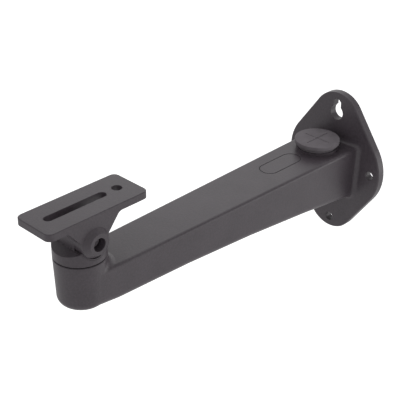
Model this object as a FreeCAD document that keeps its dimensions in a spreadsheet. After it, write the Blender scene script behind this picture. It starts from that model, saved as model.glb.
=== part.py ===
import FreeCAD, Part
import math
import os
import re
import Sketcher

# Camera wall bracket. A cast arm stands out from a lobed wall plate and ends in a round boss.
# A turntable pans on the boss, and a slotted camera plate tilts on a screw through its lug.
# Frame: origin at the middle of the wall plate's back face, on the level of the two side
# holes. The wall is the plane y = 0, the arm runs towards -Y, and +Z is up. Millimetres.

SIZES = [
    # Wall plate: four lobes joined by straight tangents
    ("plate_thickness", 6.5, "wall plate, back to front"),
    ("plate_end_radius", 21.5, "radius of the top and bottom lobes"),
    ("plate_end_offset", 37.0, "height of the top lobe's centre"),
    ("plate_side_radius", 37.0, "radius of the side lobes"),
    ("plate_side_offset", 7.0, "side lobe's centre from the middle"),
    ("plate_edge", 0.7, "chamfer of the plate's front edge"),
    ("fixing_diameter", 7.0, "three plain fixing holes"),
    ("side_fixing_offset", 35.2, "side holes from the middle"),
    ("low_fixing_offset", 50.0, "bottom hole below the middle"),
    ("key_head_diameter", 11.8, "keyhole, the part a screw head passes"),
    ("key_head_offset", 42.3, "keyhole head above the middle"),
    ("key_slot_width", 7.2, "keyhole, the part the screw hangs in"),
    ("key_slot_offset", 50.0, "top end of the keyhole slot"),
    # Arm: a tapered beam with drafted sides, its underside bowed in straight runs
    ("arm_reach", 262.0, "wall to pan axis"),
    ("arm_top", 19.95, "height of the arm's flat top"),
    ("arm_root_width", 46.5, "arm's width at the wall plate"),
    ("draft_angle", 2.0, "draft of the arm's sides and the boss, in degrees"),
    ("underside_depth", 8.0, "underside below the middle, at the pan axis"),
    ("underside_radius", 1980.0, "long curve of the underside"),
    ("nose_rise", 1.5, "rise of the underside below the boss"),
    ("nose_start", 18.0, "where that rise starts, from the pan axis"),
    ("side_step", 0.12, "arm's side inside the boss's side at the pan axis"),
    ("under_round", 6.0, "rounding of the underside's edges"),
    ("top_round", 2.3, "rounding of the top's edges"),
    ("root_round", 3.8, "fillet from the arm to the wall plate"),
    ("root_run", 14.0, "short first run of the underside, from the wall"),
    ("wall_thickness", 3.2, "wall of the cable duct inside the arm"),
    ("duct_length", 232.0, "cable duct from the wall, its blind end"),
    ("duct_round", 1.0, "rounding of the duct's upper edges"),
    # A bare oval outline sunk into the arm's top
    ("oval_offset", 68.6, "its middle from the wall"),
    ("oval_aside", 2.0, "its middle to the left of the arm's"),
    ("oval_length", 39.4, "outside, along the arm"),
    ("oval_width", 15.6, "outside, across the arm"),
    ("oval_line", 0.7, "width of its groove"),
    ("oval_depth", 0.35, "depth of its groove"),
    # Boss, with the pan bolt's recess below
    ("boss_radius", 17.6, "boss at the seam"),
    ("seam_height", 27.65, "top face of the boss"),
    ("seam_chamfer", 0.4, "chamfers above and below the seam"),
    ("boss_fillet", 5.0, "fillet from the arm's top to the boss"),
    ("recess_radius", 9.0, "recess for the bolt head in the boss"),
    ("recess_height", 9.0, "ceiling of that recess"),
    ("bolt_clearance", 0.2, "pan bolt to its bore in the boss, radial"),
    # Grommet and its seat on the arm
    ("cable_offset", 28.5, "grommet's centre from the wall"),
    ("seat_radius", 16.0, "raised seat on the arm's top"),
    ("seat_height", 2.25, "seat above the arm's top"),
    ("cable_bore_radius", 13.0, "hole through the seat"),
    ("cap_radius", 17.15, "grommet's cap"),
    ("cap_thickness", 3.0, "grommet's cap"),
    ("cap_edge", 0.8, "two-step chamfer of the cap's rim"),
    ("neck_radius", 14.8, "groove under the cap"),
    ("neck_height", 2.8, "groove under the cap"),
    ("grommet_clearance", 0.2, "grommet's stem to its hole, radial"),
    ("lip_radius", 14.2, "lip that holds the grommet from inside"),
    ("lip_thickness", 2.0, "that lip"),
    ("lip_clearance", 0.3, "lip below the arm's inner face"),
    ("sleeve_radius", 11.4, "hollow of the grommet's stem"),
    ("membrane_thickness", 2.0, "slit skin over that hollow"),
    ("slit_length", 24.0, "each of the two crossed slits"),
    ("slit_width", 0.7, "each slit"),
    # Pan joint
    ("seam_gap", 0.7, "friction washer in the seam"),
    ("seam_inset", 1.0, "washer's rim inside the boss"),
    ("seam_bore_radius", 7.0, "washer's hole"),
    ("bolt_radius", 4.0, "pan bolt, M8"),
    ("bolt_head_width", 13.0, "its hexagon across flats"),
    ("bolt_head_height", 5.3, "its head"),
    ("bolt_end", 35.5, "height that the bolt reaches"),
    ("thread_clearance", 0.05, "screw to the hole it is threaded into, radial"),
    ("tap_run_out", 1.0, "threaded hole past the bolt's end"),
    ("flat_washer_radius", 8.0, "flat washer"),
    ("flat_washer_thickness", 1.4, "flat washer"),
    ("spring_washer_radius", 7.2, "spring washer"),
    ("spring_washer_thickness", 2.0, "spring washer"),
    ("spring_washer_split", 1.2, "cut through the spring washer"),
    # Turntable and its lug
    ("turntable_radius", 17.6, "turntable"),
    ("tilt_height", 43.4, "tilt axis"),
    ("floor_rim_height", 35.1, "sloped floor at the turntable's rim"),
    ("floor_lug_height", 37.9, "sloped floor at the lug"),
    ("lug_radius", 10.2, "lug's round top, and half its thickness"),
    ("lug_right", 8.0, "lug's clamped face from the pan axis"),
    ("lug_left", 14.0, "lug's nut face from the pan axis"),
    ("saddle_radius", 11.6, "hollow under the tilt barrel"),
    # Tilt screw and nut
    ("screw_radius", 2.5, "tilt screw, M5"),
    ("screw_clearance", 0.15, "tilt screw to its bores, radial"),
    ("screw_head_radius", 4.25, "its cylinder head"),
    ("screw_head_height", 3.5, "its cylinder head"),
    ("socket_width", 4.0, "hexagon socket across flats"),
    ("socket_depth", 2.2, "hexagon socket"),
    ("nut_width", 8.0, "nut across flats"),
    ("nut_height", 4.7, "nut"),
    ("nut_clearance", 0.1, "nut to its pocket, each flat"),
    ("nut_depth", 5.0, "nut pocket in the lug"),
    # Camera plate with its web and tilt barrel
    ("table_width", 33.0, "camera plate across"),
    ("table_front", 34.9, "camera plate ahead of the tilt axis"),
    ("table_back", 44.7, "camera plate behind the tilt axis"),
    ("table_underside", 14.34, "camera plate's underside above the tilt axis"),
    ("table_thickness", 4.95, "camera plate"),
    ("table_corner", 4.5, "camera plate's corners"),
    ("table_edge", 0.4, "chamfer of its top edge"),
    ("slot_radius", 3.2, "slot for the camera screw"),
    ("slot_front", 22.15, "slot's front centre ahead of the tilt axis"),
    ("slot_back", 19.65, "slot's back centre behind the tilt axis"),
    ("pin_hole_radius", 3.5, "round hole in the camera plate"),
    ("pin_hole_back", 32.2, "that hole behind the tilt axis"),
    ("web_top_reach", 20.0, "web's foot under the plate, each way"),
    ("web_low_reach", 10.2, "web where it meets the barrel, each way"),
    ("web_low_height", 2.1, "that meeting above the tilt axis"),
    ("web_fillet", 4.5, "fillets from the web to the plate"),
    ("barrel_radius", 10.5, "tilt barrel"),
    ("barrel_length", 8.5, "web and straight barrel, along the tilt axis"),
    ("barrel_end_radius", 7.35, "barrel's end face"),
    ("barrel_cone_length", 3.8, "cone to the end face"),
    ("barrel_recess_radius", 4.6, "recess for the screw head"),
    ("barrel_recess_depth", 9.0, "recess for the screw head"),
    # Length of cuts that only have to be long enough
    ("cut_margin", 6.0, "cuts run this far past what they cut"),
]

Vector = FreeCAD.Vector
DOC = FreeCAD.newDocument("CameraWallBracket")
SHEET = DOC.addObject("Spreadsheet::Sheet", "Sizes")
Y_AXIS, X_AXIS = range(-2, 0)
START, END, CENTRE = range(1, 4)


def fill_sheet():
    """Write each driving size to the sheet, with its name beside it."""
    for row, (name, size, note) in enumerate(SIZES, start=1):
        SHEET.set(f"A{row}", note)
        SHEET.set(f"B{row}", str(size))
        SHEET.setAlias(f"B{row}", name)
    DOC.recompute()


def bound(formula):
    """The formula with each size looked up in the sheet."""
    return re.sub(r"\b[a-z]+_[a-z_]+\b", r"Sizes.\g<0>", formula)


def number(formula):
    """The number that a formula gives."""
    return float(SHEET.evalExpression(bound(formula)))


def drive(item, prop, formula):
    item.setExpression(prop, bound(formula))


def new_body(label, x="0", y="0", z="0"):
    """A body whose own origin stands at the given place."""
    body = DOC.addObject("PartDesign::Body", label)
    body.Label = label
    for letter, formula in zip("xyz", (x, y, z)):
        drive(body, f"Placement.Base.{letter}", formula)
    return body


def new_sketch(body, name, role, x="0", y="0", out="0"):
    """A sketch on an origin plane, shifted within the plane and out of it."""
    sketch = body.newObject("Sketcher::SketchObject", name)
    planes = body.Origin.OriginFeatures
    sketch.AttachmentSupport = (next(p for p in planes if p.Role == role), [""])
    sketch.MapMode = "FlatFace"
    for letter, formula in zip("xyz", (x, y, out)):
        drive(sketch, f"AttachmentOffset.Base.{letter}", formula)
    return sketch


def dimension(sketch, kind, *target, formula):
    """Add a dimension and tie it to its formula."""
    index = sketch.addConstraint(Sketcher.Constraint(kind, *target, number(formula)))
    drive(sketch, f"Constraints[{index}]", formula)


def place_point(sketch, geometry, end, x, y):
    """Hold a point at its distances from the sketch's origin."""
    for kind, axis, formula in (("DistanceX", Y_AXIS, x), ("DistanceY", X_AXIS, y)):
        if formula == "0":
            sketch.addConstraint(Sketcher.Constraint("PointOnObject", geometry, end, axis))
        else:
            dimension(sketch, kind, -1, 1, geometry, end, formula=formula)


def draw_polygon(sketch, corners):
    """A closed outline of straight lines through corners given as pairs of formulas."""
    points = [Vector(number(x), number(y), 0) for x, y in corners]
    first = sketch.GeometryCount
    for start, end in zip(points, points[1:] + points[:1]):
        sketch.addGeometry(Part.LineSegment(start, end), False)
    for step, (x, y) in enumerate(corners):
        following = first + (step + 1) % len(corners)
        sketch.addConstraint(Sketcher.Constraint("Coincident", first + step, END, following, START))
        place_point(sketch, first + step, START, x, y)


def draw_circle(sketch, x, y, radius):
    circle = Part.Circle(Vector(number(x), number(y), 0), Vector(0, 0, 1), number(radius))
    index = sketch.addGeometry(circle, False)
    place_point(sketch, index, CENTRE, x, y)
    dimension(sketch, "Radius", index, formula=radius)


def draw_belt(sketch, circles):
    """The outline of a belt round circles (x, y, radius), listed anticlockwise."""
    discs = [(Vector(number(x), number(y), 0), number(radius)) for x, y, radius in circles]
    normals = []
    for (here, near), (there, far) in zip(discs, discs[1:] + discs[:1]):
        along = (there - here).normalize()
        lean = (near - far) / (there - here).Length
        side = Vector(along.y, -along.x, 0)
        normals.append(side * math.sqrt(1 - lean**2) + along * lean)
    first = sketch.GeometryCount
    for step, (centre, radius) in enumerate(discs):
        following, far = discs[(step + 1) % len(discs)]
        start, end = (math.atan2(n.y, n.x) for n in (normals[step - 1], normals[step]))
        end += 2 * math.pi if end <= start else 0
        circle = Part.Circle(centre, Vector(0, 0, 1), radius)
        sketch.addGeometry(Part.ArcOfCircle(circle, start, end), False)
        normal = normals[step]
        line = Part.LineSegment(centre + normal * radius, following + normal * far)
        sketch.addGeometry(line, False)
    count = 2 * len(circles)
    for step, (x, y, radius) in enumerate(circles):
        arc = first + 2 * step
        after = first + (2 * step + 2) % count
        sketch.addConstraint(Sketcher.Constraint("Tangent", arc, END, arc + 1, START))
        sketch.addConstraint(Sketcher.Constraint("Tangent", arc + 1, END, after, START))
        place_point(sketch, arc, CENTRE, x, y)
        dimension(sketch, "Radius", arc, formula=radius)


def draw_hexagon(sketch, flats):
    """A regular hexagon about the sketch's origin, two corners on its vertical axis."""
    side = f"({flats}) / sqrt(3)"
    half = f"({flats}) / 2"
    draw_polygon(sketch, [
        (half, f"-{side} / 2"), (half, f"{side} / 2"), ("0", side),
        (f"-{half}", f"{side} / 2"), (f"-{half}", f"-{side} / 2"), ("0", f"-{side}"),
    ])


def draw_arch(sketch, half, base, centre):
    """Upright sides from a level base, joined by a half circle on top."""
    low, high, wide = number(base), number(centre), number(half)
    places = ((-wide, high), (-wide, low), (wide, low), (wide, high))
    corners = [Vector(x, y, 0) for x, y in places]
    for start, end in zip(corners, corners[1:]):
        sketch.addGeometry(Part.LineSegment(start, end), False)
    circle = Part.Circle(Vector(0, high, 0), Vector(0, 0, 1), wide)
    sketch.addGeometry(Part.ArcOfCircle(circle, 0, math.pi), False)
    sketch.addConstraint([
        Sketcher.Constraint("Coincident", 0, END, 1, START),
        Sketcher.Constraint("Coincident", 1, END, 2, START),
        Sketcher.Constraint("Tangent", 2, END, 3, START),
        Sketcher.Constraint("Tangent", 3, END, 0, START),
    ])
    place_point(sketch, 3, CENTRE, "0", centre)
    place_point(sketch, 1, START, f"-({half})", base)
    place_point(sketch, 1, END, half, base)


def extrude(kind, name, sketch, length, towards_normal=True, both_ways=False, taper=None):
    """A pad or pocket of a sketch. A pocket's own direction is against the normal."""
    body = sketch.getParentGeoFeatureGroup()
    feature = body.newObject(f"PartDesign::{kind}", name)
    feature.Profile = sketch
    feature.Midplane = both_ways
    feature.Reversed = towards_normal == (kind == "Pocket")
    drive(feature, "Length", length)
    if taper:
        drive(feature, "TaperAngle", taper)
    DOC.recompute()
    return feature


def turn(kind, name, sketch, axis="V_Axis"):
    """A revolution or groove of a sketch about one of its own axes."""
    body = sketch.getParentGeoFeatureGroup()
    feature = body.newObject(f"PartDesign::{kind}", name)
    feature.Profile = sketch
    feature.ReferenceAxis = (sketch, [axis])
    feature.Angle = 360
    DOC.recompute()
    return feature


def soften(kind, body, name, size, wanted):
    """Fillet or chamfer the edges whose bounding box passes the test."""
    base = body.Tip
    edges = [f"Edge{i}" for i, edge in enumerate(base.Shape.Edges, 1) if wanted(edge.BoundBox)]
    feature = body.newObject(f"PartDesign::{kind}", name)
    feature.Base = (base, edges)
    drive(feature, "Radius" if kind == "Fillet" else "Size", size)
    DOC.recompute()


def level(low, high, height):
    """Whether a range lies flat at a height."""
    return abs(low - height) < 0.01 and abs(high - height) < 0.01


def drafted_radius(height):
    """The boss's radius at a height, narrower downward by the draft."""
    return f"boss_radius - (seam_height - ({height})) * tan(draft_angle)"


def arm_half(distance):
    """Half the arm's width at its top, at a distance from the wall."""
    narrowing = f"arm_root_width / 2 - ({drafted_radius('arm_top')}) + side_step"
    return f"arm_root_width / 2 - ({narrowing}) * ({distance}) / arm_reach"


def bow_height(distance):
    """The underside's height at a distance from the wall."""
    run = f"(arm_reach - ({distance}))"
    return f"sqrt(underside_radius^2 - {run}^2) - underside_radius - underside_depth"


def draw_section(sketch, distance, low, wall, under, upper):
    """A section of the arm a wall's thickness inside its skin, its lower and upper edges round."""
    top = f"arm_top - {wall}"
    half = f"{arm_half(distance)} - {wall}"
    base = f"{low} + {wall}"
    drop = f"({top} - ({base}) - ({under}))"
    low_x = f"{half} - ({drop} * sin(draft_angle) + {under}) / cos(draft_angle)"
    top_x = f"{half} - {upper} * (1 + sin(draft_angle)) / cos(draft_angle)"
    draw_belt(sketch, [
        (low_x, f"{base} + {under}", under), (top_x, f"{top} - {upper}", upper),
        (f"-({top_x})", f"{top} - {upper}", upper), (f"-({low_x})", f"{base} + {under}", under),
    ])


def loft(body, kind, name, stations, wall, under, upper):
    """Straight rulings between sections at stations (distance, height of the underside)."""
    sections = []
    for distance, low in stations:
        section = new_sketch(body, f"{name}Section", "XZ_Plane", out=distance)
        draw_section(section, distance, low, wall, under, upper)
        sections.append(section)
    feature = body.newObject(f"PartDesign::{kind}", name)
    feature.Profile = sections[0]
    feature.Sections = [(section, [""]) for section in sections[1:]]
    feature.Ruled = True
    DOC.recompute()


def bow_stations(first, last):
    """Where the underside's straight runs meet, with the first and the last place given."""
    quarters = [f"{step} / 4 * (arm_reach - nose_start)" for step in (1, 2, 3)]
    return [(place, bow_height(place)) for place in [first, "root_run", *quarters, last]]


def make_boss(body):
    """The round boss, chamfered at the seam and rounded below."""
    low = "nose_rise - underside_depth"
    boss = new_sketch(body, "BossProfile", "YZ_Plane", x="-arm_reach")
    draw_polygon(boss, [
        ("0", low), (drafted_radius(low), low),
        (drafted_radius("seam_height - seam_chamfer"), "seam_height - seam_chamfer"),
        ("boss_radius - seam_chamfer", "seam_height"), ("0", "seam_height"),
    ])
    turn("Revolution", "Boss", boss)
    height = number(low)
    soften("Fillet", body, "BossRounding", "under_round",
           lambda box: level(box.ZMin, box.ZMax, height))


def make_arm_blank(body):
    """The solid arm with its boss, before the duct and the holes."""
    make_boss(body)
    stations = bow_stations("plate_thickness / 2", "arm_reach - nose_start")
    stations.append(("arm_reach", "1.2 * nose_rise - underside_depth"))
    loft(body, "AdditiveLoft", "Arm", stations, "0", "under_round", "top_round")
    top = number("arm_top")
    boss_back = number("boss_radius - arm_reach")
    soften("Fillet", body, "BossFillet", "boss_fillet",
           lambda box: level(box.ZMin, box.ZMax, top) and box.YMax < boss_back
           and box.YLength > 1 and box.XMax * box.XMin < 1)


def make_wall_plate(body):
    plate = new_sketch(body, "PlateOutline", "XZ_Plane")
    draw_belt(plate, [
        ("plate_side_offset", "0", "plate_side_radius"),
        ("0", "plate_end_offset", "plate_end_radius"),
        ("-plate_side_offset", "0", "plate_side_radius"),
        ("0", "-plate_end_offset", "plate_end_radius"),
    ])
    extrude("Pad", "WallPlate", plate, "plate_thickness")
    front = -number("plate_thickness")
    near = number("arm_root_width") * 0.75

    def distance(box):
        return math.hypot(box.Center.x, box.Center.z)

    soften("Chamfer", body, "PlateEdge", "plate_edge",
           lambda box: level(box.YMin, box.YMax, front) and distance(box) > near)
    soften("Fillet", body, "RootFillet", "root_round",
           lambda box: level(box.YMin, box.YMax, front) and distance(box) < near)


def cut_holes(body):
    """The grommet's hole, the fixing holes, the keyhole and the pan bolt's recess."""
    seat = new_sketch(body, "SeatOutline", "XY_Plane", out="arm_top")
    draw_circle(seat, "0", "-cable_offset", "seat_radius")
    extrude("Pad", "GrommetSeat", seat, "seat_height")
    hole = new_sketch(body, "CableHole", "XY_Plane", out="arm_top + seat_height")
    draw_circle(hole, "0", "-cable_offset", "cable_bore_radius")
    extrude("Pocket", "CableBore", hole, "seat_height + wall_thickness + 1",
            towards_normal=False)

    fixings = new_sketch(body, "FixingHoles", "XZ_Plane")
    for x, z in (("side_fixing_offset", "0"), ("-side_fixing_offset", "0"),
                 ("0", "-low_fixing_offset")):
        draw_circle(fixings, x, z, "fixing_diameter / 2")
    through = "2 * plate_thickness + cut_margin"
    extrude("Pocket", "FixingBores", fixings, through, both_ways=True)
    key_head = new_sketch(body, "KeyholeHead", "XZ_Plane")
    draw_circle(key_head, "0", "key_head_offset", "key_head_diameter / 2")
    extrude("Pocket", "KeyholeHeadBore", key_head, through, both_ways=True)
    key_slot = new_sketch(body, "KeyholeSlot", "XZ_Plane")
    draw_belt(key_slot, [
        ("0", "key_head_offset", "key_slot_width / 2"),
        ("0", "key_slot_offset", "key_slot_width / 2"),
    ])
    extrude("Pocket", "KeyholeSlotBore", key_slot, through, both_ways=True)

    recess = new_sketch(body, "BoltRecess", "YZ_Plane", x="-arm_reach")
    low = "-underside_depth - cut_margin"
    high = "seam_height + cut_margin"
    bore = "bolt_radius + bolt_clearance"
    draw_polygon(recess, [
        ("0", low), ("recess_radius", low), ("recess_radius", "recess_height"),
        (bore, "recess_height"), (bore, high), ("0", high),
    ])
    turn("Groove", "BoltBore", recess)


def cut_oval_groove(body):
    """A bare oval outline on the arm's top."""
    groove = new_sketch(body, "OvalGroove", "XY_Plane", out="arm_top")
    reach = "(oval_length - oval_width) / 2"
    for radius in ("oval_width / 2", "oval_width / 2 - oval_line"):
        draw_belt(groove, [
            ("-oval_aside", f"-oval_offset - {reach}", radius),
            ("-oval_aside", f"-oval_offset + {reach}", radius),
        ])
    extrude("Pocket", "OvalGrooveCut", groove, "oval_depth", towards_normal=False)


def make_arm_casting():
    body = new_body("arm_casting")
    make_arm_blank(body)
    make_wall_plate(body)
    loft(body, "SubtractiveLoft", "Duct", bow_stations("0", "duct_length"),
         "wall_thickness", "under_round - wall_thickness", "duct_round")
    cut_holes(body)
    cut_oval_groove(body)


def make_cable_grommet():
    """A rubber cap on a neck, with a stem and a lip below and a slit skin across."""
    body = new_body("cable_grommet", y="-cable_offset", z="arm_top + seat_height")
    profile = new_sketch(body, "GrommetProfile", "YZ_Plane")
    top = "neck_height + cap_thickness"
    stem = "cable_bore_radius - grommet_clearance"
    lip_top = "-seat_height - wall_thickness - lip_clearance"
    lip_low = f"{lip_top} - lip_thickness"
    draw_polygon(profile, [
        ("0", f"{top} - membrane_thickness"), ("sleeve_radius", f"{top} - membrane_thickness"),
        ("sleeve_radius", lip_low), ("lip_radius", lip_low), ("lip_radius", lip_top),
        (stem, lip_top), (stem, "0"), ("neck_radius", "0"), ("neck_radius", "neck_height"),
        ("cap_radius", "neck_height"), ("cap_radius", f"{top} - cap_edge"),
        ("cap_radius - 0.3 * cap_edge", f"{top} - 0.3 * cap_edge"),
        ("cap_radius - cap_edge", top), ("0", top),
    ])
    turn("Revolution", "Grommet", profile)
    slits = new_sketch(body, "Slits", "XY_Plane", out=top)
    long = "slit_length / 2"
    thin = "slit_width / 2"
    draw_polygon(slits, [
        (thin, f"-{long}"), (thin, f"-{thin}"), (long, f"-{thin}"), (long, thin),
        (thin, thin), (thin, long), (f"-{thin}", long), (f"-{thin}", thin),
        (f"-{long}", thin), (f"-{long}", f"-{thin}"), (f"-{thin}", f"-{thin}"),
        (f"-{thin}", f"-{long}"),
    ])
    extrude("Pocket", "CrossSlits", slits, "membrane_thickness", towards_normal=False)
    return body


def make_ring(label, low, high, inner, outer):
    """A flat ring about the pan axis."""
    body = new_body(label, y="-arm_reach")
    profile = new_sketch(body, "RingProfile", "YZ_Plane")
    draw_polygon(profile, [(inner, low), (outer, low), (outer, high), (inner, high)])
    turn("Revolution", "Ring", profile)
    return body


def make_pan_washers():
    make_ring("pan_friction_washer", "seam_height", "seam_height + seam_gap",
              "seam_bore_radius", "boss_radius - seam_inset")
    flat_low = "recess_height - flat_washer_thickness"
    spring_low = f"{flat_low} - spring_washer_thickness"
    bore = "bolt_radius + bolt_clearance"
    make_ring("pan_flat_washer", flat_low, "recess_height", bore, "flat_washer_radius")
    spring = make_ring("pan_spring_washer", spring_low, flat_low, bore, "spring_washer_radius")
    split = new_sketch(spring, "Split", "XY_Plane", out=flat_low)
    draw_polygon(split, [
        ("bolt_radius / 2", "-spring_washer_split / 2"),
        ("spring_washer_radius + 1", "-spring_washer_split / 2"),
        ("spring_washer_radius + 1", "spring_washer_split / 2"),
        ("bolt_radius / 2", "spring_washer_split / 2"),
    ])
    extrude("Pocket", "SplitCut", split, "spring_washer_thickness", towards_normal=False)


def make_pan_bolt():
    body = new_body("pan_bolt", y="-arm_reach")
    seat = "recess_height - flat_washer_thickness - spring_washer_thickness"
    head = new_sketch(body, "HeadOutline", "XY_Plane", out=seat)
    draw_hexagon(head, "bolt_head_width")
    extrude("Pad", "Head", head, "bolt_head_height", towards_normal=False)
    shank = new_sketch(body, "ShankOutline", "XY_Plane", out=seat)
    draw_circle(shank, "0", "0", "bolt_radius")
    extrude("Pad", "Shank", shank, f"bolt_end - ({seat})")
    return body


def make_pan_turntable():
    """A drum with a sloped top, a lug for the tilt screw and a hollow for the barrel."""
    body = new_body("pan_turntable", y="-arm_reach")
    low = "seam_height + seam_gap"
    block = "tilt_height - lug_radius / 4"
    drum = new_sketch(body, "DrumProfile", "YZ_Plane")
    draw_polygon(drum, [
        ("0", low), ("turntable_radius - seam_chamfer", low),
        ("turntable_radius", f"{low} + seam_chamfer"), ("turntable_radius", block),
        ("0", block),
    ])
    turn("Revolution", "Drum", drum)

    floors = new_sketch(body, "SlopedFloors", "YZ_Plane")
    slope = "(floor_lug_height - floor_rim_height) / (turntable_radius - lug_radius)"
    outside = "turntable_radius + cut_margin"
    outside_height = f"floor_rim_height - cut_margin * {slope}"
    above = "tilt_height + lug_radius + cut_margin"
    for sign in ("-", ""):
        draw_polygon(floors, [
            (f"{sign}lug_radius", "floor_lug_height"), (f"{sign}lug_radius", above),
            (f"{sign}({outside})", above), (f"{sign}({outside})", outside_height),
        ])
    across = "2 * turntable_radius + cut_margin"
    extrude("Pocket", "FloorCuts", floors, across, both_ways=True)

    nut_side = new_sketch(body, "NutSide", "YZ_Plane", out="-lug_left")
    draw_polygon(nut_side, [
        (f"-({outside})", "floor_lug_height"), (outside, "floor_lug_height"),
        (outside, above), (f"-({outside})", above),
    ])
    extrude("Pocket", "NutSideCut", nut_side, outside, towards_normal=False)

    lug = new_sketch(body, "LugOutline", "YZ_Plane", out="-lug_left")
    draw_arch(lug, "lug_radius", f"({low} + floor_rim_height) / 2", "tilt_height")
    extrude("Pad", "Lug", lug, "lug_left + lug_right")

    saddle = new_sketch(body, "SaddleOutline", "YZ_Plane", out="lug_right")
    draw_belt(saddle, [
        ("0", "tilt_height", "saddle_radius"),
        ("0", "tilt_height + lug_radius + cut_margin", "saddle_radius"),
    ])
    extrude("Pocket", "Saddle", saddle, outside)

    tilt_bore = new_sketch(body, "TiltBore", "YZ_Plane", y="tilt_height")
    draw_circle(tilt_bore, "0", "0", "screw_radius + screw_clearance")
    extrude("Pocket", "TiltBoreCut", tilt_bore, "2 * lug_left + cut_margin", both_ways=True)
    nut = new_sketch(body, "NutOutline", "YZ_Plane", y="tilt_height", out="-lug_left")
    draw_hexagon(nut, "nut_width + 2 * nut_clearance")
    extrude("Pocket", "NutPocket", nut, "nut_depth")
    tap = new_sketch(body, "BoltThread", "XY_Plane", out=low)
    draw_circle(tap, "0", "0", "bolt_radius + thread_clearance")
    extrude("Pocket", "BoltThreadBore", tap, f"bolt_end + tap_run_out - ({low})")
    return body


def make_tilt_nut():
    body = new_body("tilt_nut", y="-arm_reach", z="tilt_height")
    outline = new_sketch(body, "NutOutline", "YZ_Plane", out="nut_depth - lug_left")
    draw_hexagon(outline, "nut_width")
    extrude("Pad", "Nut", outline, "nut_height", towards_normal=False)
    thread = new_sketch(body, "ThreadOutline", "YZ_Plane", out="nut_depth - lug_left")
    draw_circle(thread, "0", "0", "screw_radius + thread_clearance")
    extrude("Pocket", "Thread", thread, "nut_height", towards_normal=False)
    return body


def make_tilt_screw():
    """A cylinder-head screw from the barrel's recess to the nut's outer face."""
    body = new_body("tilt_screw", y="-arm_reach", z="tilt_height")
    seat = "lug_right + barrel_length + barrel_cone_length - barrel_recess_depth"
    shank = new_sketch(body, "ShankOutline", "YZ_Plane", out=seat)
    draw_circle(shank, "0", "0", "screw_radius")
    length = f"{seat} + lug_left - nut_depth + nut_height"
    extrude("Pad", "Shank", shank, length, towards_normal=False)
    head = new_sketch(body, "HeadOutline", "YZ_Plane", out=seat)
    draw_circle(head, "0", "0", "screw_head_radius")
    extrude("Pad", "Head", head, "screw_head_height")
    socket = new_sketch(body, "SocketOutline", "YZ_Plane", out=f"{seat} + screw_head_height")
    draw_hexagon(socket, "socket_width")
    extrude("Pocket", "Socket", socket, "socket_depth", towards_normal=False)
    return body


def make_camera_plate():
    """The slotted plate, with a web down its right side to the tilt barrel."""
    body = new_body("camera_plate", y="-arm_reach", z="tilt_height")
    top = "table_underside + table_thickness"
    table = new_sketch(body, "TableOutline", "XY_Plane", out="table_underside")
    half = "table_width / 2"
    draw_polygon(table, [
        (f"-{half}", "-table_front"), (half, "-table_front"),
        (half, "table_back"), (f"-{half}", "table_back"),
    ])
    extrude("Pad", "Table", table, "table_thickness")
    tall = number("table_thickness")
    soften("Fillet", body, "TableCorners", "table_corner", lambda box: box.ZLength > tall - 0.1)
    height = number(top)
    soften("Chamfer", body, "TableEdge", "table_edge",
           lambda box: level(box.ZMin, box.ZMax, height))

    web = new_sketch(body, "WebOutline", "YZ_Plane", out="lug_right")
    draw_polygon(web, [
        ("-web_low_reach", "web_low_height"), ("web_low_reach", "web_low_height"),
        ("web_top_reach", "table_underside"), ("-web_top_reach", "table_underside"),
    ])
    extrude("Pad", "Web", web, "barrel_length")
    underside = number("table_underside")
    reach = number("web_top_reach")
    soften("Fillet", body, "WebFillets", "web_fillet",
           lambda box: level(box.ZMin, box.ZMax, underside) and box.YLength < 0.01
           and abs(abs(box.YMin) - reach) < 0.01)

    barrel = new_sketch(body, "BarrelProfile", "XY_Plane")
    straight_end = "lug_right + barrel_length"
    tip = f"{straight_end} + barrel_cone_length"
    draw_polygon(barrel, [
        ("lug_right", "0"), ("lug_right", "barrel_radius"), (straight_end, "barrel_radius"),
        (tip, "barrel_end_radius"), (tip, "0"),
    ])
    turn("Revolution", "Barrel", barrel, axis="H_Axis")
    bore = new_sketch(body, "BarrelBore", "XY_Plane")
    clear = "screw_radius + screw_clearance"
    seat = f"{tip} - barrel_recess_depth"
    draw_polygon(bore, [
        ("0", "0"), ("0", clear), (seat, clear), (seat, "barrel_recess_radius"),
        (f"{tip} + cut_margin", "barrel_recess_radius"), (f"{tip} + cut_margin", "0"),
    ])
    turn("Groove", "BarrelBoreCut", bore, axis="H_Axis")

    openings = new_sketch(body, "SlotAndHole", "XY_Plane", out=top)
    draw_belt(openings, [
        ("0", "-slot_front", "slot_radius"), ("0", "slot_back", "slot_radius"),
    ])
    draw_circle(openings, "0", "pin_hole_back", "pin_hole_radius")
    extrude("Pocket", "SlotAndHoleCut", openings, "table_thickness", towards_normal=False)
    return body


def check_objects():
    """Stop if any object failed or any sub-part isn't a valid solid."""
    for item in DOC.Objects:
        if "Invalid" in item.State or "Error" in item.State:
            raise RuntimeError(f"{item.Name} failed: {item.State}")
    for body in DOC.findObjects("PartDesign::Body"):
        if body.Shape.isNull() or not body.Shape.isValid() or len(body.Shape.Solids) != 1:
            raise RuntimeError(f"{body.Label} isn't one valid solid")


def write_parts():
    os.makedirs("parts", exist_ok=True)
    for body in DOC.findObjects("PartDesign::Body"):
        body.Shape.exportStep(f"parts/{body.Label}.step")
        box = body.Shape.BoundBox
        print(f"{body.Label}: {body.Shape.Volume:.0f} mm3, y {box.YMin:.1f} to {box.YMax:.1f},"
              f" z {box.ZMin:.1f} to {box.ZMax:.1f}")


fill_sheet()
make_arm_casting()
make_cable_grommet()
make_pan_washers()
make_pan_bolt()
make_pan_turntable()
make_tilt_nut()
make_tilt_screw()
make_camera_plate()
DOC.recompute()
check_objects()
write_parts()
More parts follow.
